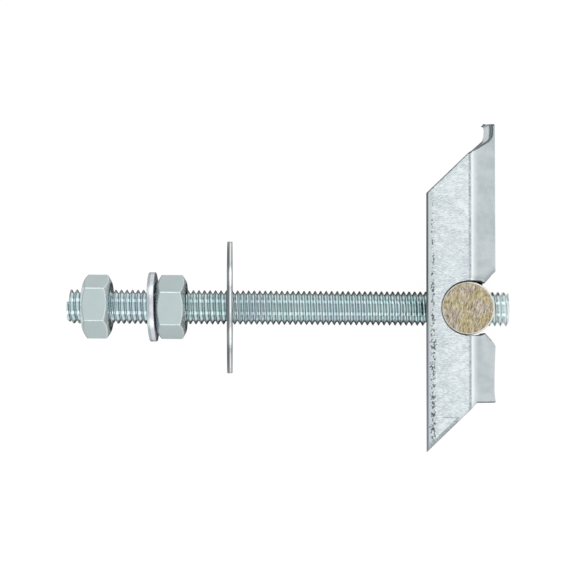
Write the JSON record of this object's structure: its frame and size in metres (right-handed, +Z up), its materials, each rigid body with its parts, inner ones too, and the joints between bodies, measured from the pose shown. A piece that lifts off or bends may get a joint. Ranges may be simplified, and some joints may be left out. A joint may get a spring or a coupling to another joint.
{
  "type": "toggle bolt",
  "caption": "Threaded rod with hexagon nuts and washers, and a folded channel wing that swivels on a barrel nut to grip behind a hollow wall or ceiling.",
  "frame": {"origin": "on the surface the bolt lies on, under the centre of its bounding box", "axes": "+X along the rod from its nut end to its wing end, +Y along the wing's long arm, +Z up; the rod's axis slopes down by 8.24 degrees towards +X, because the bolt lies on the penny washer's rim and on the wing"},
  "size_m": [0.1, 0.0746, 0.0296],
  "materials": {
    "rod_zinc": "bright blue-white zinc plate on a rolled thread",
    "nut_zinc": "bright zinc plate, satin flats with polished edges",
    "washer_zinc": "bright zinc plate on stamped sheet",
    "barrel_passivated": "yellow-olive passivated zinc, sawn end faces",
    "wing_galvanised": "pre-galvanised sheet, finely scratched, with darker cut edges"
  },
  "bodies": {
    "rod": {"threaded_rod": "rod_zinc"},
    "outer_nut": {"outer_nut": "nut_zinc"},
    "flat_washer": {"flat_washer": "washer_zinc"},
    "inner_nut": {"inner_nut": "nut_zinc"},
    "penny_washer": {"penny_washer": "washer_zinc"},
    "barrel": {"barrel_nut": "barrel_passivated"},
    "wing": {"channel_wing": "wing_galvanised"}
  },
  "joints": [
    {"name": "outer_nut_slide", "type": "slide", "parent": "rod", "child": "outer_nut", "axis": [0.9897, 0, -0.1434], "range_m": [-0.0035, 0.0042]},
    {"name": "flat_washer_slide", "type": "slide", "parent": "rod", "child": "flat_washer", "axis": [0.9897, 0, -0.1434], "range_m": [-0.004, 0]},
    {"name": "inner_nut_slide", "type": "slide", "parent": "rod", "child": "inner_nut", "axis": [0.9897, 0, -0.1434], "range_m": [0, 0.004]},
    {"name": "penny_washer_slide", "type": "slide", "parent": "rod", "child": "penny_washer", "axis": [0.9897, 0, -0.1434], "range_m": [-0.0042, 0.017]},
    {"name": "barrel_slide", "type": "slide", "parent": "rod", "child": "barrel", "axis": [0.9897, 0, -0.1434], "range_m": [0, 0.004]},
    {"name": "wing_hinge", "type": "hinge", "parent": "barrel", "child": "wing", "pos_m": [0.03945, -0.00563, 0.00722], "axis": [0.1434, 0, 0.9897], "range_deg": [-90, 24]}
  ]
}
